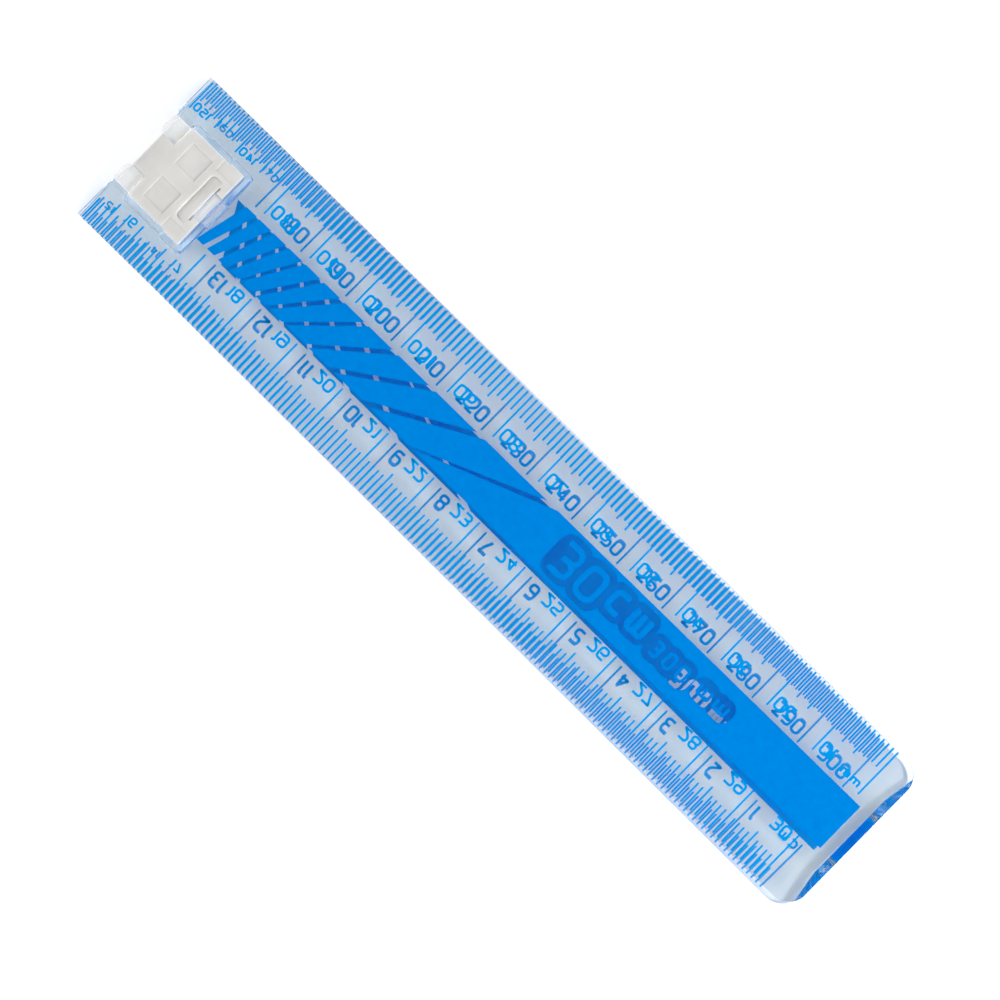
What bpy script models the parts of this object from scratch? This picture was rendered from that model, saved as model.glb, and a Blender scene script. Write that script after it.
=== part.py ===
"""Folding 30 cm rule, closed: two clear 15 cm halves lying front to front, joined end to end by a
one-piece polypropylene living hinge whose two leaves are snapped into a window in each half.

Frame: metres, +Z up. X runs from the hinge (-X) to the free ends (+X), and the origin is the centre
of the closed rule's footprint, on the surface that it lies on.
A half and a leaf are each drawn once in a moulding frame of their own: x from the hinge end towards
the free end, z from the printed back face (0) towards the front face, and the same mesh makes the
lower piece and, turned over about X, the upper one.
"""

import math

import bmesh
import bpy

MM = 0.001

# The scale fixes the length: 150 marks a millimetre apart, and a margin beyond each end of them.
SCALE_LENGTH = 150 * MM
FREE_END_MARGIN = 5.2 * MM
HINGE_END_MARGIN = 0.9 * MM
LENGTH = FREE_END_MARGIN + SCALE_LENGTH + HINGE_END_MARGIN
WIDTH = 29.9 * MM
THICKNESS = 2.4 * MM
CLOSED_GAP = 0.3 * MM  # between the two front faces
SEAM_GAP = 0.3 * MM  # between the two hinge ends when the rule is open
HINGE_LINE_OFF_SQUARE = math.radians(0.21)  # closed, the halves lie twice this askew; open, in line

# Front face: a flat band between two long bevels, and a steep bevel across the free end.
FLAT_HALF_WIDTH = 7.9 * MM
EDGE_THICKNESS = 1.1 * MM
END_BEVEL_RUN = 1.3 * MM
END_BEVEL_FALL = 1.65 * MM
CORNER_RADIUS = 3.5 * MM
HINGE_END_CHAMFER = 0.3 * MM

# Window for the hinge leaf, open through a mouth at the hinge end. Its walls lean in towards the front.
WINDOW_START = 3.3 * MM
WINDOW_STEP = 11.3 * MM
WINDOW_END = 15.65 * MM
WINDOW_HALF_WIDTH = 8.05 * MM
WINDOW_STEP_OUT = 0.2 * MM
WINDOW_SIDE_LEAN = 0.7 * MM
WINDOW_END_LEAN = 0.9 * MM
WINDOW_CORNER = 0.8 * MM
MOUTH_HALF_WIDTH = 7.1 * MM

# Lugs that reach in across the mouth, on the back face, and hold the leaf down.
LUG_TIP = 3.5 * MM
LUG_THICKNESS = 0.8 * MM
LUG_CORNER = 1.0 * MM

# Tongue on the window's end wall, sunk below the back face, that snaps over the leaf's end.
TONGUE_HALF_WIDTH = 2.3 * MM
TONGUE_TIP = 13.2 * MM
TONGUE_SUNK = 0.45 * MM
TONGUE_THICKNESS = 0.55 * MM

# Leaf: a plate with a rounded nose at the fold and shallow features in its back face.
FIT_GAP = 0.15 * MM
LEAF_END = 14.6 * MM
LEAF_BACK = 0.1 * MM
LEAF_FRONT = THICKNESS - 0.05 * MM
NOSE_LENGTH = 2.6 * MM
NOSE_DROP = 1.1 * MM
RAMP_START = 10.95 * MM
RAMP_END = 13.05 * MM
RAMP_DEPTH = 0.7 * MM
RAMP_HALF_WIDTH = 4.4 * MM
RAMP_CORNER = 0.8 * MM
SLOT_END = 13.4 * MM
SLOT_DEPTH = 0.5 * MM
SLOT_HALF_WIDTH = 3.45 * MM
PAD_SIDE = 4.25 * MM
PAD_START = 5.3 * MM
PAD_INNER = 1.4 * MM
PAD_DEPTH = 0.15 * MM
EAR_START = 10.66 * MM
EAR_INNER = 5.1 * MM

# Web: a strip between two crease lines, which stands upright when closed and lies flat when open.
WEB_RADIUS = 0.2 * MM
WEB_HALF_WIDTH = MOUTH_HALF_WIDTH - 0.25 * MM
CREASE_INSET = 0.8 * MM
CREASE_GAP = 0.12 * MM
CREASE_FROM_MIDDLE = CREASE_INSET + SEAM_GAP / 2

HEIGHT = 2 * THICKNESS + CLOSED_GAP
MIDDLE = HEIGHT / 2
CREASE_HEIGHT = MIDDLE - CREASE_FROM_MIDDLE  # in the moulding frame, from the back face
HINGE_END_X = -LENGTH / 2
BEYOND = 1 * MM  # how far a cutter runs past the face that it opens

ARC_STEPS = 12
WEB_STEPS = 16

CLEAR = ("clear_polystyrene", (0.72, 0.83, 0.92, 1), 0.08)
MILKY = ("natural_polypropylene", (0.80, 0.79, 0.76, 1), 0.42)


def clear_scene():
    for found in list(bpy.data.objects):
        bpy.data.objects.remove(found)


def material(name, colour, roughness):
    made = bpy.data.materials.get(name)
    if made is None:
        made = bpy.data.materials.new(name)
        made.use_nodes = True
        shader = made.node_tree.nodes["Principled BSDF"]
        shader.inputs["Base Color"].default_value = colour
        shader.inputs["Roughness"].default_value = roughness
        shader.inputs["Metallic"].default_value = 0
    return made


def arc(x, y, radius, start, end, steps=ARC_STEPS, rise=None):
    """Points along an arc about (x, y), from one angle to the other, in degrees.

    It is elliptical if rise, its half-size in y, is given.
    """
    rise = radius if rise is None else rise
    turns = [math.radians(start + (end - start) * i / steps) for i in range(steps + 1)]
    return [(x + radius * math.cos(turn), y + rise * math.sin(turn)) for turn in turns]


def mirrored(outline):
    """The outline, which runs anticlockwise from y < 0, closed by its own mirror image in y."""
    return outline + [(x, -y) for x, y in reversed(outline)]


def new_object(name, mesh):
    made = bpy.data.objects.new(name, mesh)
    bpy.context.scene.collection.objects.link(made)
    return made


def loft(name, low, high):
    """A solid between two loops of as many (x, y, z) points each, anticlockwise seen from high."""
    shape = bmesh.new()
    loops = [[shape.verts.new(point) for point in loop] for loop in (low, high)]
    shape.faces.new(reversed(loops[0]))
    shape.faces.new(loops[1])
    for i in range(len(low)):
        j = (i + 1) % len(low)
        shape.faces.new((loops[0][i], loops[0][j], loops[1][j], loops[1][i]))
    bmesh.ops.recalc_face_normals(shape, faces=shape.faces)
    mesh = bpy.data.meshes.new(name)
    shape.to_mesh(mesh)
    shape.free()
    return new_object(name, mesh)


def prism(name, outline, low, high):
    """An (x, y) outline extruded along z."""
    return loft(name, [(x, y, low) for x, y in outline], [(x, y, high) for x, y in outline])


def bar(name, profile, right, left):
    """An (x, z) profile extruded along y, from right to left."""
    return loft(name, [(x, right, z) for x, z in profile], [(x, left, z) for x, z in profile])


def box(name, start, end, half_width, low, high):
    return bar(name, [(start, low), (end, low), (end, high), (start, high)], -half_width, half_width)


def cut(target, cutter):
    """Takes the cutter's shape out of the target."""
    cutter.hide_render = True
    cutter.display_type = "WIRE"
    modifier = target.modifiers.new("cut " + cutter.name, "BOOLEAN")
    modifier.operation = "DIFFERENCE"
    modifier.solver = "EXACT"
    modifier.object = cutter


def settle(target):
    """The target's mesh with its cuts made, shaded smooth up to its sharp edges. Removes the cutters."""
    cutters = [modifier.object for modifier in target.modifiers]
    graph = bpy.context.evaluated_depsgraph_get()
    mesh = bpy.data.meshes.new_from_object(target.evaluated_get(graph))
    for done in [target, *cutters]:
        bpy.data.objects.remove(done)
    mesh.shade_smooth()
    mesh.set_sharp_from_angle(angle=math.radians(25))
    return mesh


def window_outline(z):
    """The window's outline at height z: it narrows from the back face to the front, round the tongue."""
    lean = z / THICKNESS
    side = WINDOW_HALF_WIDTH - WINDOW_SIDE_LEAN * lean
    step = side + WINDOW_STEP_OUT
    end = WINDOW_END - WINDOW_END_LEAN * lean
    right_corner = arc(end - WINDOW_CORNER, WINDOW_CORNER - step, WINDOW_CORNER, -90, 0)
    outline = [(WINDOW_START, -side), (WINDOW_STEP, -side), (WINDOW_STEP + WINDOW_STEP_OUT, -step)]
    outline += right_corner
    outline += [(end, -TONGUE_HALF_WIDTH), (TONGUE_TIP, -TONGUE_HALF_WIDTH)]
    return mirrored(outline)


def cut_window(half):
    """Opens the window and the mouth, leaving the lugs and the tongue."""
    low, high = -BEYOND, THICKNESS + BEYOND
    main = loft(
        "window",
        [(x, y, low) for x, y in window_outline(low)],
        [(x, y, high) for x, y in window_outline(high)],
    )
    overlap = WINDOW_START + FIT_GAP
    lip = LUG_TIP + LUG_CORNER
    throat = [(-BEYOND, -lip)] + arc(LUG_CORNER, -lip, LUG_CORNER, 180, 90) + [(overlap, -LUG_TIP)]
    under_tongue = WINDOW_END - WINDOW_END_LEAN
    tongue_front = TONGUE_SUNK + TONGUE_THICKNESS
    tongue_well = [
        (TONGUE_TIP - BEYOND, -BEYOND),
        (WINDOW_END + TONGUE_SUNK + BEYOND, -BEYOND),
        (WINDOW_END, TONGUE_SUNK),
        (TONGUE_TIP - BEYOND, TONGUE_SUNK),
    ]
    cut(half, main)
    cut(half, prism("mouth_throat", mirrored(throat), low, high))
    cut(half, box("under_lugs", -BEYOND, overlap, MOUTH_HALF_WIDTH, LUG_THICKNESS, high))
    reach = TONGUE_HALF_WIDTH + FIT_GAP
    cut(half, box("under_tongue", TONGUE_TIP - BEYOND, under_tongue, reach, tongue_front, high))
    cut(half, bar("over_tongue", tongue_well, -TONGUE_HALF_WIDTH, TONGUE_HALF_WIDTH))


def cut_bevels(half):
    """The long bevels beside the flat band, the free end's bevel and the hinge end's small chamfer."""
    start, end = -BEYOND, LENGTH + BEYOND
    fall = (THICKNESS - EDGE_THICKNESS) / (WIDTH / 2 - FLAT_HALF_WIDTH)
    for side, name in ((-1, "right_bevel"), (1, "left_bevel")):
        section = [
            (side * (FLAT_HALF_WIDTH - BEYOND), THICKNESS + fall * BEYOND),
            (side * (WIDTH / 2 + BEYOND), EDGE_THICKNESS - fall * BEYOND),
            (side * (WIDTH / 2 + BEYOND), THICKNESS + BEYOND),
        ]
        cut(half, loft(name, [(start, y, z) for y, z in section], [(end, y, z) for y, z in section]))
    top = THICKNESS + BEYOND
    steep = END_BEVEL_FALL / END_BEVEL_RUN
    end_bevel = [
        (LENGTH - END_BEVEL_RUN - BEYOND, THICKNESS + steep * BEYOND),
        (LENGTH + BEYOND, THICKNESS - END_BEVEL_FALL - steep * BEYOND),
        (LENGTH + BEYOND, THICKNESS + steep * BEYOND),
    ]
    chamfer = [
        (-BEYOND, THICKNESS - HINGE_END_CHAMFER - BEYOND),
        (HINGE_END_CHAMFER + BEYOND, top),
        (-BEYOND, top),
    ]
    cut(half, bar("free_end_bevel", end_bevel, -WIDTH, WIDTH))
    cut(half, bar("hinge_end_chamfer", chamfer, -WIDTH, WIDTH))


def half_mesh():
    """One clear half, in the moulding frame."""
    corner = arc(LENGTH - CORNER_RADIUS, CORNER_RADIUS - WIDTH / 2, CORNER_RADIUS, -90, 0)
    half = prism("half", mirrored([(0, -WIDTH / 2)] + corner), 0, THICKNESS)
    cut_bevels(half)
    cut_window(half)
    return settle(half)


def cut_leaf_fold_end(leaf):
    """Rounds the nose, clears the lugs, and hollows the front corner for the web's crease."""
    nose = CREASE_INSET - WEB_RADIUS
    shoulder, drop = nose + NOSE_LENGTH, LEAF_BACK + NOSE_DROP
    round_off = [(nose - BEYOND, LEAF_BACK - BEYOND), (shoulder, LEAF_BACK - BEYOND)]
    round_off += arc(shoulder, drop, NOSE_LENGTH, -90, -180, WEB_STEPS, NOSE_DROP)
    round_off += [(nose - BEYOND, drop)]
    cut(leaf, bar("nose_round", round_off, -WIDTH, WIDTH))
    hollow = WEB_RADIUS + CREASE_GAP
    groove = arc(CREASE_INSET, CREASE_HEIGHT, hollow, 180, 360, WEB_STEPS)
    top = THICKNESS + BEYOND
    groove += [(CREASE_INSET + hollow, top), (nose - BEYOND, top), (nose - BEYOND, CREASE_HEIGHT)]
    cut(leaf, bar("crease_groove", groove, -WIDTH, WIDTH))
    step = LUG_THICKNESS + FIT_GAP
    inner = LUG_TIP - FIT_GAP
    clearance = [(-BEYOND, -BEYOND), (WINDOW_START + FIT_GAP, -BEYOND)]
    clearance += [(WINDOW_START + FIT_GAP, step), (-BEYOND, step)]
    cut(leaf, bar("right_lug_clearance", clearance, -WIDTH, -inner))
    cut(leaf, bar("left_lug_clearance", clearance, inner, WIDTH))


def cut_leaf_back(leaf):
    """The thumbnail ramp, the slot and step that the tongue snaps into, two pads and two ears."""
    corner = arc(RAMP_START + RAMP_CORNER, RAMP_CORNER - RAMP_HALF_WIDTH, RAMP_CORNER, 180, 270)
    ramp = mirrored(corner + [(RAMP_END, -RAMP_HALF_WIDTH)])
    slope = RAMP_DEPTH / (RAMP_END - RAMP_START)
    floor = [(x, y, LEAF_BACK + slope * (RAMP_END - x)) for x, y in ramp]
    cut(leaf, loft("thumbnail_ramp", [(x, y, -BEYOND) for x, y in ramp], floor))
    step = TONGUE_SUNK + TONGUE_THICKNESS + FIT_GAP
    reach = TONGUE_HALF_WIDTH + FIT_GAP
    cut(leaf, box("tongue_slot", RAMP_END, SLOT_END, SLOT_HALF_WIDTH, -BEYOND, SLOT_DEPTH))
    cut(leaf, box("tongue_step", RAMP_END, LEAF_END + BEYOND, reach, -BEYOND, step))
    dip = LEAF_BACK + PAD_DEPTH
    pad = [(PAD_START, -BEYOND), (PAD_START + PAD_SIDE, -BEYOND)]
    pad += [(x, dip) for x, _ in reversed(pad)]
    ear = [(EAR_START, -BEYOND), (LEAF_END + BEYOND, -BEYOND)]
    ear += [(x, dip) for x, _ in reversed(ear)]
    cut(leaf, bar("right_pad", pad, -PAD_INNER - PAD_SIDE, -PAD_INNER))
    cut(leaf, bar("left_pad", pad, PAD_INNER, PAD_INNER + PAD_SIDE))
    cut(leaf, bar("right_ear", ear, -WIDTH, -EAR_INNER))
    cut(leaf, bar("left_ear", ear, EAR_INNER, WIDTH))


def leaf_mesh():
    """One leaf of the hinge, in the moulding frame of the half that it snaps into."""
    mouth_side = WEB_HALF_WIDTH
    side = WINDOW_HALF_WIDTH - WINDOW_SIDE_LEAN - FIT_GAP
    step = side + WINDOW_STEP_OUT
    shoulder = WINDOW_START + FIT_GAP
    outline = [
        (CREASE_INSET - WEB_RADIUS, -mouth_side),
        (shoulder, -mouth_side),
        (shoulder, -side),
        (WINDOW_STEP + FIT_GAP, -side),
        (WINDOW_STEP + FIT_GAP + WINDOW_STEP_OUT, -step),
        (LEAF_END, -step),
    ]
    leaf = prism("leaf", mirrored(outline), LEAF_BACK, LEAF_FRONT)
    cut_leaf_fold_end(leaf)
    cut_leaf_back(leaf)
    return settle(leaf)


def web_mesh():
    """The web's strip, round-edged, standing up from the lower crease line, which is its origin."""
    tall = 2 * CREASE_FROM_MIDDLE
    profile = arc(0, 0, WEB_RADIUS, 180, 360, WEB_STEPS) + arc(0, tall, WEB_RADIUS, 0, 180, WEB_STEPS)
    web = bar("web", profile, -WEB_HALF_WIDTH, WEB_HALF_WIDTH)
    return settle(web)


def fold_axis(name, height, tilt):
    """An empty on a crease line. Its own frame is the moulding frame, moved to the crease."""
    axis = new_object(name, None)
    axis.location = (HINGE_END_X + CREASE_INSET, 0, height)
    axis.rotation_euler = tilt
    return axis


def place(name, mesh, finish, axis):
    """Puts a mesh drawn in the moulding frame on its crease line."""
    made = new_object(name, mesh)
    made.parent = axis
    made.location = (-CREASE_INSET, 0, -CREASE_HEIGHT)
    if not mesh.materials:
        mesh.materials.append(material(*finish))
    return made


def build():
    clear_scene()
    lower_crease = fold_axis("lower_crease_line", CREASE_HEIGHT, (0, 0, -HINGE_LINE_OFF_SQUARE))
    upper_crease = fold_axis(
        "upper_crease_line", HEIGHT - CREASE_HEIGHT, (math.pi, 0, HINGE_LINE_OFF_SQUARE)
    )
    half = half_mesh()
    leaf = leaf_mesh()
    for side, axis in (("lower", lower_crease), ("upper", upper_crease)):
        place(side + "_half", half, CLEAR, axis)
        place(side + "_hinge_leaf", leaf, MILKY, axis)
    web = new_object("hinge_web", web_mesh())
    web.location = (HINGE_END_X + CREASE_INSET, 0, CREASE_HEIGHT)
    web.data.materials.append(material(*MILKY))


build()
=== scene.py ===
import math

import bmesh
import bpy
from mathutils import Matrix, Vector


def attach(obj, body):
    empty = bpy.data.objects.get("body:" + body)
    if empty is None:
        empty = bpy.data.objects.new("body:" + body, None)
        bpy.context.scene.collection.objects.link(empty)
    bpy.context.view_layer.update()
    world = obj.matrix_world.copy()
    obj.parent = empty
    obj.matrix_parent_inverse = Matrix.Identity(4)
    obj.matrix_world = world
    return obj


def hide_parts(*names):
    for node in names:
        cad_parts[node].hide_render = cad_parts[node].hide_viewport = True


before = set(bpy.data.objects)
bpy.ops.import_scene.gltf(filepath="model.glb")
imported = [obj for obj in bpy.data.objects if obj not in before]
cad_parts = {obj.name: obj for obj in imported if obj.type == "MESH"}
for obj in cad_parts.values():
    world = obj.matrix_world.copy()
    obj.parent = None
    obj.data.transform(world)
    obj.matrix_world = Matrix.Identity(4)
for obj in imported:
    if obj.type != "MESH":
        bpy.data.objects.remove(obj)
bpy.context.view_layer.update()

# A closed folding ruler: two clear halves, front face to front face, on a milky hinge. The blue print is on
# the outer faces. Each half is described in its own frame, in mm: d from the hinge end towards the free end,
# y across the ruler, and height up from its printed face into the plastic.
MM = 0.001
LENGTH, WIDTH = 156.1, 29.9
HEIGHT = 5.1  # of the closed ruler
SKEW = math.radians(0.21)  # each half lies this far askew of the hinge when closed
CREASE_INSET = 0.8  # d of the crease line between a leaf and the web
CREASE_HEIGHT = 1.6

PRINT_SKEW = {"lower": math.radians(0.18), "upper": math.radians(-0.07)}  # print against its half's edges
INK_OUT, INK_IN = 0.012, 0.008  # how far the ink stands out of the face, and how far it is set into it


# ---------------------------------------------------------------- materials

def new_material(name):
    made = bpy.data.materials.new(name)
    made.use_nodes = True
    nodes, links = made.node_tree.nodes, made.node_tree.links
    return made, nodes, links, nodes["Principled BSDF"]


def noise(nodes, links, scale, detail=3.0, roughness=0.5):
    """A noise texture in object space, so that it rides with its piece. Returns its value socket."""
    place = nodes.new("ShaderNodeTexCoord")
    texture = nodes.new("ShaderNodeTexNoise")
    texture.inputs["Scale"].default_value = scale
    texture.inputs["Detail"].default_value = detail
    texture.inputs["Roughness"].default_value = roughness
    links.new(place.outputs["Object"], texture.inputs["Vector"])
    return texture.outputs["Fac"]


def remap(nodes, links, value, low, high, start=0.0, end=1.0):
    """The value, clamped from start..end to low..high."""
    made = nodes.new("ShaderNodeMapRange")
    made.inputs["From Min"].default_value = start
    made.inputs["From Max"].default_value = end
    made.inputs["To Min"].default_value = low
    made.inputs["To Max"].default_value = high
    links.new(value, made.inputs["Value"])
    return made.outputs["Result"]


def bump(nodes, links, shader, value, distance, strength=1.0):
    made = nodes.new("ShaderNodeBump")
    made.inputs["Strength"].default_value = strength
    made.inputs["Distance"].default_value = distance
    links.new(value, made.inputs["Height"])
    links.new(made.outputs["Normal"], shader.inputs["Normal"])


def clear_material(name, tint, satin=0.0):
    """Clear polystyrene, with patches of very slight haze in its gloss. The tint is for one wall, and
    satin is the least roughness."""
    made, nodes, links, shader = new_material(name)
    shader.inputs["Base Color"].default_value = tint
    shader.inputs["Transmission Weight"].default_value = 1.0
    shader.inputs["IOR"].default_value = 1.5
    haze = noise(nodes, links, 420.0, 4.0)
    links.new(remap(nodes, links, haze, satin, satin + 0.06, 0.45, 0.8), shader.inputs["Roughness"])
    return made


def milky_material(name, dark, light):
    """Natural polypropylene: milky, satin, slightly cloudy between the two colours."""
    made, nodes, links, shader = new_material(name)
    cloud = noise(nodes, links, 260.0, 4.0, 0.6)
    mix = nodes.new("ShaderNodeMix")
    mix.data_type = "RGBA"
    mix.inputs["A"].default_value = dark
    mix.inputs["B"].default_value = light
    links.new(remap(nodes, links, cloud, 0.0, 1.0, 0.35, 0.65), mix.inputs["Factor"])
    links.new(mix.outputs["Result"], shader.inputs["Base Color"])
    shader.inputs["Subsurface Weight"].default_value = 1.0
    shader.inputs["Subsurface Radius"].default_value = (1.0, 0.95, 0.85)
    shader.inputs["Subsurface Scale"].default_value = 0.001
    shader.inputs["Roughness"].default_value = 0.34
    grain = noise(nodes, links, 5200.0, 2.0)
    bump(nodes, links, shader, grain, 0.00001, 0.5)
    return made


def ink_material(name, colour, deep):
    """Screen-printed ink: matt, and faintly patchy between the two colours."""
    made, nodes, links, shader = new_material(name)
    patch = noise(nodes, links, 900.0, 5.0, 0.6)
    mix = nodes.new("ShaderNodeMix")
    mix.data_type = "RGBA"
    mix.inputs["A"].default_value = deep
    mix.inputs["B"].default_value = colour
    links.new(remap(nodes, links, patch, 0.0, 1.0, 0.3, 0.6), mix.inputs["Factor"])
    links.new(mix.outputs["Result"], shader.inputs["Base Color"])
    shader.inputs["Roughness"].default_value = 0.5
    shader.inputs["Specular IOR Level"].default_value = 0.0
    return made


# ---------------------------------------------------------------- building

def add_object(name, mesh, body, slot, *materials):
    made = bpy.data.objects.new(name, mesh)
    bpy.context.scene.collection.objects.link(made)
    for material in materials:
        mesh.materials.append(material)
    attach(made, body)
    return made


def evaluated_mesh(obj):
    graph = bpy.context.evaluated_depsgraph_get()
    return bpy.data.meshes.new_from_object(obj.evaluated_get(graph))


FLAT_ANGLE = math.radians(1)  # faces that meet at less than this are one face
ROUNDED_ANGLE = math.radians(28)  # edges sharper than this are rounded


def rounded_copy(node, name, body, slot, material, width):
    """A copy of a CAD node with its edges rounded as a moulding's are. It stands for the node."""
    source = bmesh.new()
    source.from_mesh(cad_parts[node].data)
    bmesh.ops.remove_doubles(source, verts=source.verts, dist=1e-7)
    bmesh.ops.dissolve_limit(source, angle_limit=FLAT_ANGLE, verts=source.verts, edges=source.edges,
                             use_dissolve_boundaries=False)
    mesh = bpy.data.meshes.new(name)
    source.to_mesh(mesh)
    source.free()
    rough = bpy.data.objects.new(name + "_rough", mesh)
    bpy.context.scene.collection.objects.link(rough)
    rounding = rough.modifiers.new("rounding", "BEVEL")
    rounding.width = width * MM
    rounding.segments = 3
    rounding.limit_method = "ANGLE"
    rounding.angle_limit = ROUNDED_ANGLE
    final = evaluated_mesh(rough)
    bpy.data.objects.remove(rough)
    final.name = name
    final.materials.clear()
    final.shade_flat()  # so that flat faces bend light evenly
    made = add_object(name, final, body, slot, material)
    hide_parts(node)
    return made


# Where a half and its leaf are thin, at the lugs and the tongue, in mm: d from..to, and distance from the
# middle line from..to
THIN_PARTS = [(-1.0, 3.32, 3.42, 7.16), (13.1, 15.8, -1.0, 2.36)]


def thin_parts_paler(moulding, paler):
    """Gives a moulding its lighter material where it is thin, at the lugs and the tongue: painted light,
    where these parts lie in shade.
    """
    mesh = moulding.data
    mesh.materials.append(paler)
    shape = bmesh.new()
    shape.from_mesh(mesh)
    start = Vector((-LENGTH / 2 * MM, 0, 0))
    for d0, d1, out0, out1 in THIN_PARTS:
        cuts = [((d, 0, 0), (1, 0, 0)) for d in (d0, d1)]
        cuts += [((0, sign * out, 0), (0, 1, 0)) for out in (out0, out1) for sign in (-1, 1)]
        for point, normal in cuts:
            everything = list(shape.verts) + list(shape.edges) + list(shape.faces)
            place = start + Vector(point) * MM
            bmesh.ops.bisect_plane(shape, geom=everything, dist=1e-7, plane_co=place, plane_no=normal)
        for face in shape.faces:
            middle = (face.calc_center_median() - start) / MM
            if d0 < middle.x < d1 and out0 < abs(middle.y) < out1:
                face.material_index = 1
    shape.to_mesh(mesh)
    shape.free()


WINDOW = (3.5, 16.0, 8.4)  # in mm: d from..to, and distance from the middle line
UPRIGHT = 0.97  # a face whose normal has less of z than this is a wall


def satin_window_walls(moulding, end_wall, side_wall):
    """Gives the walls of a half's window satin materials, the end wall's with a painted reflection of the
    blue print, after thin_parts_paler has added its own.
    """
    mesh = moulding.data
    mesh.materials.append(end_wall)
    mesh.materials.append(side_wall)
    start, end, side = WINDOW
    for polygon in mesh.polygons:
        d, y = polygon.center.x / MM + LENGTH / 2, polygon.center.y / MM
        inside = start < d < end and abs(y) < side
        if inside and abs(polygon.normal.z) < UPRIGHT and polygon.material_index == 0:
            polygon.material_index = 2 if abs(polygon.normal.x) > abs(polygon.normal.y) else 3


# ---------------------------------------------------------------- print

def half_to_world(side):
    """The matrix from a half's own frame, in mm, to the closed ruler in metres."""
    hinge = Vector((-LENGTH / 2 + CREASE_INSET, 0, 0))
    if side == "lower":
        turn = Matrix.Rotation(-SKEW, 4, "Z")
    else:
        lift, turn_over = Matrix.Translation((0, 0, HEIGHT)), Matrix.Rotation(math.pi, 4, "X")
        turn = lift @ Matrix.Rotation(SKEW, 4, "Z") @ turn_over
    move = Matrix.Translation(hinge) @ turn @ Matrix.Translation((-CREASE_INSET, 0, 0))
    return Matrix.Scale(MM, 4) @ move


def slab(shape, outline, low=-INK_OUT, high=INK_IN):
    """Adds a closed plate with this (d, y) outline to the bmesh. Either winding will do."""
    area = sum(a[0] * b[1] - b[0] * a[1] for a, b in zip(outline, outline[1:] + outline[:1]))
    ring = outline if area > 0 else outline[::-1]
    bottom = [shape.verts.new((x, y, low)) for x, y in ring]
    top = [shape.verts.new((x, y, high)) for x, y in ring]
    shape.faces.new(bottom[::-1])
    shape.faces.new(top)
    for i in range(len(ring)):
        j = (i + 1) % len(ring)
        shape.faces.new((bottom[i], bottom[j], top[j], top[i]))


def rounded_bar(shape, start, end, width, to_plane):
    """A straight stroke with round ends, in reading coordinates."""
    (x0, y0), (x1, y1) = start, end
    along = Vector((x1 - x0, y1 - y0)).normalized()
    angle = math.atan2(along.y, along.x)
    radius = width / 2
    round_ends = (
        (x1 - along.x * radius, y1 - along.y * radius, -90),
        (x0 + along.x * radius, y0 + along.y * radius, 90),
    )
    points = []
    for cx, cy, first in round_ends:
        for i in range(7):
            turn = angle + math.radians(first + 30 * i)
            points.append((cx + radius * math.cos(turn), cy + radius * math.sin(turn)))
    slab(shape, [to_plane(p) for p in points])


SHARP = math.radians(80)  # a corner with less than this between its sides is a sharp one
SHARP_SHARE = 0.3  # of the radius, at a sharp corner
CLOSEST = 0.01  # points of a path nearer than this, in mm, are one point


def round_corners(points, radius, closed):
    """A path's corners replaced by arcs, as far as its sides leave room."""
    count = len(points)
    made = []
    for i, point in enumerate(points):
        if not closed and i in (0, count - 1):
            made.append(Vector(point))
            continue
        here, before, after = Vector(point), Vector(points[i - 1]), Vector(points[(i + 1) % count])
        back, on = (before - here), (after - here)
        share = SHARP_SHARE if back.angle(on) < SHARP else 1.0
        reach = min(radius * share, min(back.length, on.length) * 0.5)
        a, b = here + back.normalized() * reach, here + on.normalized() * reach
        for step in range(5):
            t = step / 4
            made.append((1 - t) ** 2 * a + 2 * t * (1 - t) * here + t**2 * b)
    kept = [made[0]]
    for point in made[1:]:
        if (point - kept[-1]).length > CLOSEST:
            kept.append(point)
    if closed and (kept[-1] - kept[0]).length < CLOSEST:
        kept.pop()
    return kept


MITRE_LIMIT = 0.5  # the least cosine that a corner is widened by


def ribbon(shape, path, width, to_plane, closed, lift=0.0):
    """A stroke of even width along a path. Strokes that cross have a different lift, so no faces coincide."""
    low, high = -INK_OUT - lift, INK_IN + lift
    points = [Vector(p) for p in path]
    count = len(points)
    left, right = [], []
    for i, point in enumerate(points):
        before = points[i - 1] if (closed or i > 0) else None
        after = points[(i + 1) % count] if (closed or i < count - 1) else None
        into = (point - before).normalized() if before is not None else (after - point).normalized()
        out = (after - point).normalized() if after is not None else into
        normal = Vector((-(into.y + out.y), into.x + out.x)).normalized()
        spread = width / 2 / max(MITRE_LIMIT, normal.dot(Vector((-into.y, into.x))))
        left.append(point + normal * spread)
        right.append(point - normal * spread)
    flat = [[to_plane(tuple(v)) for v in side] for side in (left, right)]
    rings = []
    for (lx, ly), (rx, ry) in zip(*flat):
        corners = ((lx, ly, low), (rx, ry, low), (rx, ry, high), (lx, ly, high))
        rings.append([shape.verts.new(corner) for corner in corners])
    pairs = list(zip(rings, rings[1:] + rings[:1])) if closed else list(zip(rings, rings[1:]))
    for one, two in pairs:
        for k in range(4):
            shape.faces.new((one[k], one[(k + 1) % 4], two[(k + 1) % 4], two[k]))
    if not closed:
        shape.faces.new(rings[0][::-1])
        shape.faces.new(rings[-1])


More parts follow.
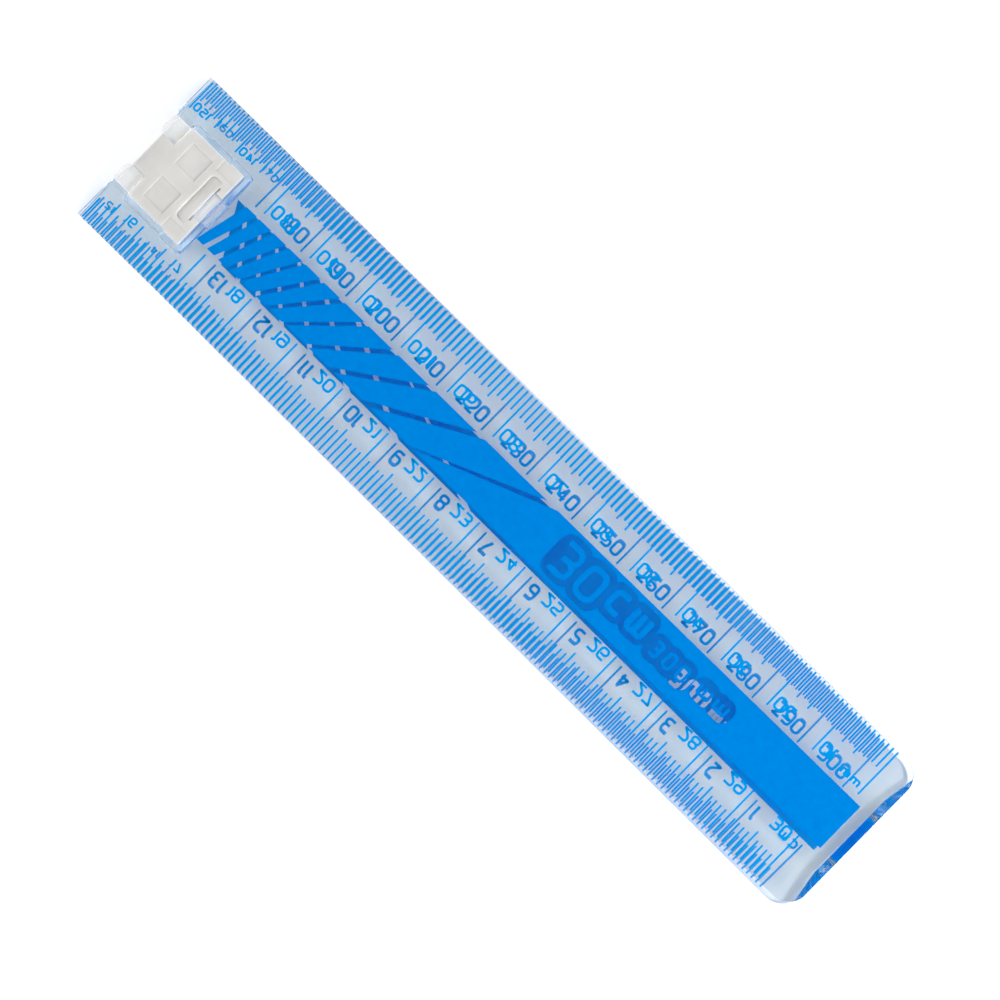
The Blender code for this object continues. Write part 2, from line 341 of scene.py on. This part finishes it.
# Letters on a cell 1 wide and 1 tall, as strokes: the points of each stroke's middle, and if it is closed.
L, R, B, T, H = 0.0, 1.0, 0.0, 1.0, 0.5  # left, right, bottom, top and half way up
GLYPHS = {
    "0": [([(L, B), (R, B), (R, T), (L, T)], True)],
    "1": [([(R, B), (R, T), (L, T)], False)],
    "2": [([(L, T), (R, T), (R, 0.55), (L, B), (R, B)], False)],
    "3": [([(L, T), (R, T), (R, H), (0.25, H)], False), ([(0.25, H), (R, H), (R, B), (L, B)], False)],
    "4": [([(0.72, B), (0.72, T)], False), ([(0.72, T), (L, 0.3), (R, 0.3)], False)],
    "5": [([(R, T), (L, T), (L, 0.58), (R, 0.58), (R, B), (L, B)], False)],
    "6": [([(R, T), (L, T), (L, B), (R, B), (R, 0.57), (0.18, 0.57)], False)],
    "7": [([(L, T), (R, T), (0.3, B)], False)],
    "8": [([(L, B), (R, B), (R, H), (L, H)], True), ([(0.06, H), (0.94, H), (0.94, T), (0.06, T)], True)],
    "9": [([(L, B), (R, B), (R, T), (L, T), (L, 0.43), (0.82, 0.43)], False)],
    "m": [([(L, B), (L, T)], False), ([(L, T), (R, T), (R, B)], False), ([(0.5, T), (0.5, B)], False)],
    "c": [([(R, T), (L, T), (L, B), (R, B)], False)],
}
ROUND = "0235689c"  # the letters with wide curves
ROUND_SHARE, SQUARE_SHARE = 0.42, 0.5  # corner radius: of a round letter's width, and of another's stroke
NARROW = {"1": 0.5, "c": 0.86}  # width against a normal letter's
LIFT_STEP = 0.0015  # between one stroke of a letter and the next


def strokes(letter, x, base, height, width, stroke):
    """The letter's strokes at that place: (smoothed points, closed)."""
    radius = ROUND_SHARE * (width - stroke) if letter in ROUND else SQUARE_SHARE * stroke
    left, foot = x + stroke / 2, base + stroke / 2
    made = []
    for points, closed in GLYPHS[letter]:
        placed = [(left + px * (width - stroke), foot + py * (height - stroke)) for px, py in points]
        made.append((round_corners(placed, radius, closed), closed))
    return made


def write(shape, text, right, base, height, width, stroke, pitch, to_plane):
    """Writes text whose right edge is at right, in reading coordinates."""
    x = right
    for letter in reversed(text):
        wide = width * NARROW.get(letter, 1.0)
        x -= wide
        for level, (points, closed) in enumerate(strokes(letter, x, base, height, wide, stroke)):
            ribbon(shape, points, stroke, to_plane, closed, LIFT_STEP * level)
        x -= pitch - width


EDGE = WIDTH / 2  # y of a half's long edge

# Each printed row: its half, its side of the middle line, d of its 0 mark, and which way it counts along d
ROW_PLACES = {
    "lower_mm": ("lower", 1, -151.22, 1),
    "lower_cm": ("lower", -1, 150.74, -1),
    "upper_mm": ("upper", 1, 150.9, -1),
    "upper_cm": ("upper", -1, -151.15, 1),
}
# A row's sizes, from its edge. Marks start at first, and the short, five and ten ones end at those distances.
# Numerals have their tops at top, and gap between them and their mark. small is the unit sign's height.
ROWS = {
    "upper_mm": dict(first=0.36, short=4.45, five=5.5, ten=9.52, small=1.3,
                     top=6.67, height=2.42, width=1.73, pitch=2.0, stroke=0.42, gap=0.46),
    "upper_cm": dict(first=0.17, short=4.3, five=5.4, ten=9.5, small=1.3,
                     top=7.1, height=2.28, width=1.8, pitch=1.97, stroke=0.42, gap=0.79),
    "lower_mm": dict(first=0.25, short=4.2, five=4.9, ten=9.6, small=1.5,
                     top=6.53, height=2.52, width=1.82, pitch=1.97, stroke=0.47, gap=0.6),
    "lower_cm": dict(first=0.03, short=3.77, five=4.6, ten=9.5, small=1.5,
                     top=6.7, height=2.55, width=1.82, pitch=1.97, stroke=0.47, gap=0.65),
}
# The same beside the window, where there is less room. Short marks over a numeral end at over.
NEAR_WINDOW = {
    "upper_mm": dict(over=3.1, five=5.4, ten=5.84,
                     top=4.06, height=1.54, width=1.2, pitch=1.35, stroke=0.35, gap=0.15),
    "upper_cm": dict(over=2.98, five=5.84, ten=5.84,
                     top=4.16, height=1.71, width=1.3, pitch=1.5, stroke=0.34, gap=0.85),
    "lower_mm": dict(over=2.75, five=4.6, ten=5.1,
                     top=3.95, height=1.3, width=1.15, pitch=1.33, stroke=0.3, gap=0.3),
    "lower_cm": dict(over=2.7, five=4.6, ten=5.1,
                     top=3.95, height=1.4, width=1.15, pitch=1.33, stroke=0.3, gap=0.7),
}
MARKS_TO_HINGE, MARKS_FROM_HINGE = (0, 150), (152, 300)  # first and last of a row that counts that way
MARKS_NEAR, NUMERALS_NEAR = 18.0, 19.5  # marks and numerals at less d than this are beside the window
MARKS_OVER_NUMERAL = 3  # this many short marks before a ten lie over its numeral
TICK_WIDTH = 0.32
UNIT_SIGN_RIGHT = {"mm": 4.7, "cm": 4.05}
UNIT_SIGN_WIDTH, UNIT_SIGN_STROKE, UNIT_SIGN_PITCH = 1.79, 0.38, 2.12


def mark_end(row, mark):
    """How far from the edge a mark ends."""
    _, _, origin, direction = ROW_PLACES[row]
    sizes = NEAR_WINDOW[row] if origin + direction * mark < MARKS_NEAR else ROWS[row]
    if mark % 10 == 0:
        return sizes["ten"]
    if mark % 5 == 0:
        return sizes["five"]
    ahead = 10 - mark % 10
    numeral_at = origin + direction * (mark + ahead)
    if ahead <= MARKS_OVER_NUMERAL and 0 < numeral_at < NUMERALS_NEAR:
        return NEAR_WINDOW[row]["over"]
    return ROWS[row]["short"]


def build_row(row, ticks, numerals):
    """Adds a row's marks to one bmesh, and its numerals and unit sign to another."""
    side, sign, origin, direction = ROW_PLACES[row]
    flip = 1 if side == "lower" else -1  # the upper half is turned over
    unit = row[-2:]
    normal = ROWS[row]

    def to_plane(point):
        """From reading coordinates (s along the row, t in from the edge) to the half's (d, y)."""
        s, t = point
        return origin + direction * s, flip * sign * (EDGE - t)

    def on_line(sizes):
        """Makes the same function for lettering, whose second coordinate goes up from its foot."""
        return lambda point: to_plane((point[0], sizes["top"] + sizes["height"] - point[1]))

    first_mark, last_mark = MARKS_TO_HINGE if direction < 0 else MARKS_FROM_HINGE
    for mark in range(first_mark, last_mark + 1):
        rounded_bar(ticks, (mark, normal["first"]), (mark, mark_end(row, mark)), TICK_WIDTH, to_plane)
        if mark % 10 == 0 and mark > 0:
            sizes = NEAR_WINDOW[row] if origin + direction * mark < NUMERALS_NEAR else normal
            text = str(mark if unit == "mm" else mark // 10)
            right = mark - TICK_WIDTH / 2 - sizes["gap"]
            write(numerals, text, right, 0, sizes["height"], sizes["width"], sizes["stroke"], sizes["pitch"],
                  on_line(sizes))
    if first_mark == 0:
        write(numerals, unit, UNIT_SIGN_RIGHT[unit], 0, normal["small"], UNIT_SIGN_WIDTH, UNIT_SIGN_STROKE,
              UNIT_SIGN_PITCH, on_line(normal))


def finish_print(shape, name, side, outer, inner):
    """Makes a print into a piece. Its faces towards the plastic take the inner material, which is painted
    lighter.
    """
    bmesh.ops.recalc_face_normals(shape, faces=shape.faces)
    for face in shape.faces:
        face.material_index = int(min(v.co.z for v in face.verts) > 0)
    mesh = bpy.data.meshes.new(name)
    shape.to_mesh(mesh)
    shape.free()
    mesh.transform(half_to_world(side) @ Matrix.Rotation(PRINT_SKEW[side], 4, "Z"))
    return add_object(name, mesh, side, "printed_ink", outer, inner)


BAND_SIDES = {"upper": (4.71, -4.33), "lower": (4.33, -4.87)}  # y of its two edges
BAND_END = 152.6
# Slanted bars before the band: d from..to on the +y side and from..to on the -y side
BARS = [
    (16.02, 17.52, 18.15, 20.39), (18.31, 19.90, 21.03, 23.51), (20.76, 22.46, 24.10, 26.83),
    (23.19, 25.17, 27.46, 30.43), (25.69, 28.16, 31.08, 34.35), (28.94, 31.13, 35.20, 38.69),
    (31.85, 34.70, 39.73, 44.04), (35.42, 39.67, 45.00, 50.22), (40.52, 44.81, 51.47, 58.26),
    (46.07, 52.05, 59.66, 68.69), (53.62, 62.43, 70.40, 84.06),
]
BODY_START = (63.14, 86.33)
BARS_FROM = 16.02  # no bar starts nearer the hinge than this: the window is there
LOWER_BARS_MOVED = (10.65, 9.75)  # how much nearer the hinge the lower half's are, on the +y and -y sides
HALO = 1.0  # clear margin round the upper band's lettering
HALO_ROUNDING = 0.25  # of the letter's width, which its corners are rounded by beyond the margin
HALO_CUT = 0.1  # how far its cutter reaches past the face, each way
LETTER_CUT = 8  # the lower band's letters are cut by strokes this many times as deep as ink
# Generic lettering in the band: (text, d of its right edge, y of its foot, height, width, stroke, pitch)
UPPER_WORDS = [
    ("30", 100.2, -2.73, 6.0, 4.2, 0.9, 5.3), ("cm", 109.7, -2.73, 4.2, 3.8, 0.9, 4.9),
    ("300", 119.1, -1.13, 2.9, 1.9, 0.5, 2.8), ("mm", 127.5, -1.13, 2.1, 2.7, 0.5, 3.5),
]
LOWER_WORDS = [("300", 124.6, -2.37, 3.5, 2.1, 0.75, 2.6), ("mm", 130.9, -2.37, 2.6, 2.45, 0.75, 2.95)]


def along_band(point):
    """The band's lettering is already in the half's (d, y)."""
    return point


def band_bars(side):
    """A half's slanted bars and the start of its band, as in BARS and BODY_START."""
    if side == "upper":
        return BARS, BODY_START
    up, down = LOWER_BARS_MOVED
    bars = [(max(b0 - up, BARS_FROM), b1 - up, t0 - down, t1 - down) for b0, b1, t0, t1 in BARS]
    return [bar for bar in bars if bar[1] > BARS_FROM], (BODY_START[0] - up, BODY_START[1] - down)


def rounded_box(shape, x0, y0, x1, y1, radius, low, high):
    """A plate with round corners."""
    points = []
    for cx, cy, first in (
        (x1 - radius, y1 - radius, 0), (x0 + radius, y1 - radius, 90),
        (x0 + radius, y0 + radius, 180), (x1 - radius, y0 + radius, 270),
    ):
        for step in range(7):
            turn = math.radians(first + 15 * step)
            points.append((cx + radius * math.cos(turn), cy + radius * math.sin(turn)))
    slab(shape, points, low, high)


def cut_halos(cutter):
    """Adds plates with round corners, a margin wider than each letter of the upper band."""
    for text, right, foot, height, width, _, pitch in UPPER_WORDS:
        x = right
        for letter in reversed(text):
            wide = width * NARROW.get(letter, 1.0)
            low, high = foot - HALO, foot + height + HALO
            radius = HALO + HALO_ROUNDING * wide
            rounded_box(cutter, x - wide - HALO, low, x + HALO, high, radius, -HALO_CUT, HALO_CUT)
            x -= wide + pitch - width


def subtract(shape, cutter):
    """The first bmesh less the second. Both are freed, and a new bmesh comes back."""
    pieces = []
    for name, source in (("band_rough", shape), ("band_cutter", cutter)):
        bmesh.ops.recalc_face_normals(source, faces=source.faces)
        mesh = bpy.data.meshes.new(name)
        source.to_mesh(mesh)
        source.free()
        pieces.append(bpy.data.objects.new(name, mesh))
        bpy.context.scene.collection.objects.link(pieces[-1])
    difference = pieces[0].modifiers.new("difference", "BOOLEAN")
    difference.operation = "DIFFERENCE"
    difference.solver = "EXACT"
    difference.use_self = True
    difference.object = pieces[1]
    final = evaluated_mesh(pieces[0])
    for piece in pieces:
        bpy.data.objects.remove(piece)
    made = bmesh.new()
    made.from_mesh(final)
    bpy.data.meshes.remove(final)
    return made


def build_band(side):
    """The blue band down the middle, broken into slanted bars towards the hinge, with lettering cut out."""
    upside, downside = BAND_SIDES[side]
    body, cutter, rest = bmesh.new(), bmesh.new(), bmesh.new()
    bars, (b0, t0) = band_bars(side)
    for bar in bars:
        slab(rest, [(bar[0], upside), (bar[1], upside), (bar[3], downside), (bar[2], downside)])
    slab(body, [(b0, upside), (BAND_END, upside), (BAND_END, downside), (t0, downside)])
    if side == "upper":
        cut_halos(cutter)
        for text, right, foot, height, width, stroke, pitch in UPPER_WORDS:
            write(rest, text, right, foot, height, width, stroke, pitch, along_band)
    else:
        for text, right, foot, height, width, stroke, pitch in LOWER_WORDS:
            write(cutter, text, right, foot, height, width, stroke, pitch, along_band)
        for vertex in cutter.verts:
            vertex.co.z *= LETTER_CUT
    body = subtract(body, cutter)
    extra = bpy.data.meshes.new("band_rest")
    rest.to_mesh(extra)
    rest.free()
    body.from_mesh(extra)
    bpy.data.meshes.remove(extra)
    return body


CREASE_FILM = (0.17, 0.34, 240, 330)  # inner and outer radius about the crease, first and last angle
WEB_HALF_WIDTH = 6.85


def build_crease_film():
    """The thin skin that joins a leaf to the web, wrapped round the crease line."""
    inner, outer, first, last = CREASE_FILM
    steps = 10
    made = bmesh.new()
    rings = []
    for y in (-WEB_HALF_WIDTH, WEB_HALF_WIDTH):
        ring = []
        for radius, angles in ((inner, range(steps + 1)), (outer, range(steps, -1, -1))):
            for step in angles:
                turn = math.radians(first + (last - first) * step / steps)
                place = (CREASE_INSET + radius * math.cos(turn), y, CREASE_HEIGHT + radius * math.sin(turn))
                ring.append(made.verts.new(place))
        rings.append(ring)
    front, back = rings
    for i in range(len(front)):
        j = (i + 1) % len(front)
        made.faces.new((front[i], front[j], back[j], back[i]))
    made.faces.new(front[::-1])
    made.faces.new(back)
    bmesh.ops.recalc_face_normals(made, faces=made.faces)
    return made


# ---------------------------------------------------------------- the ruler

# The grey-blue tint of the main clear material is painted shade: it stands in for the blue-tinted shade that
# the print casts on the floor under the ruler.
clear = clear_material("clear_polystyrene", (0.805, 0.843, 0.87, 1))
# The thin clear copy is lighter: painted light on the lugs and the tongue, which lie in shade.
thin_clear_painted_lighter = clear_material("clear_polystyrene_thin_painted_lighter", (0.985, 0.99, 0.99, 1))
# The end wall's blue tint is a painted reflection of the blue print seen in that wall.
satin_end_painted_reflection = clear_material("clear_polystyrene_satin_end", (0.72, 0.87, 1.0, 1), 0.4)
satin_side = clear_material("clear_polystyrene_satin_side", (0.93, 0.97, 1.0, 1), 0.4)
milky = milky_material("natural_polypropylene", (0.595, 0.59, 0.575, 1), (0.645, 0.64, 0.625, 1))
# The thin milky copy is lighter: painted light on the leaf under the lugs and the tongue, which lies in
# shade.
thin_milky_painted_lighter = milky_material("natural_polypropylene_thin_painted_lighter", (0.80, 0.80, 0.79, 1), (0.84, 0.84, 0.83, 1))
# Ink bonded to plastic loses light inside the plastic, and real ink lets light through from the floor below,
# so the side of the film towards the plastic has a lighter colour: painted light standing in for that light.
marks_ink = (
    ink_material("ink_marks", (0.0, 0.272, 0.665, 1), (0.0, 0.252, 0.635, 1)),
    ink_material("ink_marks_under_plastic_painted_lighter", (0.0, 0.50, 0.98, 1), (0.0, 0.47, 0.97, 1)),
)
band_ink = (
    ink_material("ink_band", (0.0, 0.19, 0.595, 1), (0.0, 0.17, 0.56, 1)),
    ink_material("ink_band_under_plastic_painted_lighter", (0.0, 0.46, 0.94, 1), (0.0, 0.42, 0.93, 1)),
)

HALF_ROUNDING, LEAF_ROUNDING = 0.15, 0.07


def build_mouldings(side):
    moulding = rounded_copy(f"{side}_half", f"{side}_moulding", side, "clear_plastic", clear, HALF_ROUNDING)
    thin_parts_paler(moulding, thin_clear_painted_lighter)
    satin_window_walls(moulding, satin_end_painted_reflection, satin_side)
    leaf = f"{side}_hinge_leaf"
    leaf_moulding = rounded_copy(leaf, f"{side}_leaf_moulding", side, "hinge_plastic", milky, LEAF_ROUNDING)
    thin_parts_paler(leaf_moulding, thin_milky_painted_lighter)


def build_print(side):
    for unit in ("mm", "cm"):
        ticks, numerals = bmesh.new(), bmesh.new()
        build_row(f"{side}_{unit}", ticks, numerals)
        finish_print(ticks, f"{side}_{unit}_ticks", side, *marks_ink)
        finish_print(numerals, f"{side}_{unit}_numerals", side, *marks_ink)
    finish_print(build_band(side), f"{side}_band", side, *band_ink)


def add_crease_film(side):
    mesh = bpy.data.meshes.new(f"{side}_crease_film")
    film = build_crease_film()
    film.to_mesh(mesh)
    film.free()
    mesh.transform(half_to_world(side))
    add_object(f"{side}_crease_film", mesh, side, "hinge_plastic", milky)


for side in ("lower", "upper"):
    build_mouldings(side)
    build_print(side)
    add_crease_film(side)
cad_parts["hinge_web"].data.materials.clear()
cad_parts["hinge_web"].data.materials.append(milky)


# ---------------------------------------------------------------- stage

FLOOR_REACH, FLOOR_HEIGHT = 2.0, -0.00003  # in metres, just clear of the lower half's ink
FLOOR_GLOW = 0.19  # keeps the floor pale under the clear plastic


def add_floor():
    mesh = bpy.data.meshes.new("floor")
    signs = ((-1, -1), (1, -1), (1, 1), (-1, 1))
    corners = [(sx * FLOOR_REACH, sy * FLOOR_REACH, FLOOR_HEIGHT) for sx, sy in signs]
    mesh.from_pydata(corners, [], [(0, 1, 2, 3)])
    floor = bpy.data.objects.new("floor", mesh)
    bpy.context.scene.collection.objects.link(floor)
    made, nodes, links, shader = new_material("floor_white")
    shader.inputs["Base Color"].default_value = (0.93, 0.93, 0.93, 1)
    shader.inputs["Roughness"].default_value = 0.9
    shader.inputs["Specular IOR Level"].default_value = 0.0
    shader.inputs["Emission Color"].default_value = (1, 1, 1, 1)
    shader.inputs["Emission Strength"].default_value = FLOOR_GLOW
    mesh.materials.append(made)


def add_light(name, location, aim, size, power):
    data = bpy.data.lights.new(name, "AREA")
    data.shape = "SQUARE"
    data.size = size
    data.energy = power
    made = bpy.data.objects.new(name, data)
    made.location = location
    made.rotation_euler = (Vector(aim) - Vector(location)).to_track_quat("-Z", "Y").to_euler()
    bpy.context.scene.collection.objects.link(made)


def add_world(strength):
    """Even white light from all round, with a dark patch overhead where the camera hangs."""
    world = bpy.data.worlds.new("studio")
    world.use_nodes = True
    nodes, links = world.node_tree.nodes, world.node_tree.links
    background = nodes["Background"]
    background.inputs["Strength"].default_value = strength
    place = nodes.new("ShaderNodeTexCoord")
    split = nodes.new("ShaderNodeSeparateXYZ")
    links.new(place.outputs["Generated"], split.inputs["Vector"])
    links.new(remap(nodes, links, split.outputs["Z"], 1.0, 0.06, 0.975, 0.99), background.inputs["Color"])
    bpy.context.scene.world = world


SENSOR = 36.0
CAMERA_TURN = math.radians(44.629)  # the ruler lies across the picture from corner to corner
CAMERA_DISTANCE, FIELD = 0.54, 0.15656  # in metres: from the top face, and the width seen there
CAMERA_OVER = (0.00061, -0.00039)  # its place in plan, in metres


def add_camera():
    data = bpy.data.cameras.new("camera")
    data.sensor_width = SENSOR
    data.lens = SENSOR * CAMERA_DISTANCE / FIELD
    data.clip_start = 0.01
    made = bpy.data.objects.new("camera", data)
    made.location = (*CAMERA_OVER, HEIGHT * MM + CAMERA_DISTANCE)
    made.rotation_euler = (0, 0, CAMERA_TURN)
    bpy.context.scene.collection.objects.link(made)
    bpy.context.scene.camera = made


add_floor()
add_world(0.75)
add_light("key", (0.55, 0.05, 0.33), (0, 0, 0), 0.45, 4.0)
add_light("fill", (-0.5, -0.2, 0.45), (0, 0, 0), 0.5, 1.2)
add_camera()
bpy.context.scene.view_settings.view_transform = "Standard"
cycles = bpy.context.scene.cycles
cycles.blur_glossy = 0.0  # blurring would dim whatever is seen through the clear plastic
cycles.max_bounces, cycles.transmission_bounces = 32, 32  # light caught between the clear faces
cycles.glossy_bounces, cycles.diffuse_bounces = 24, 8
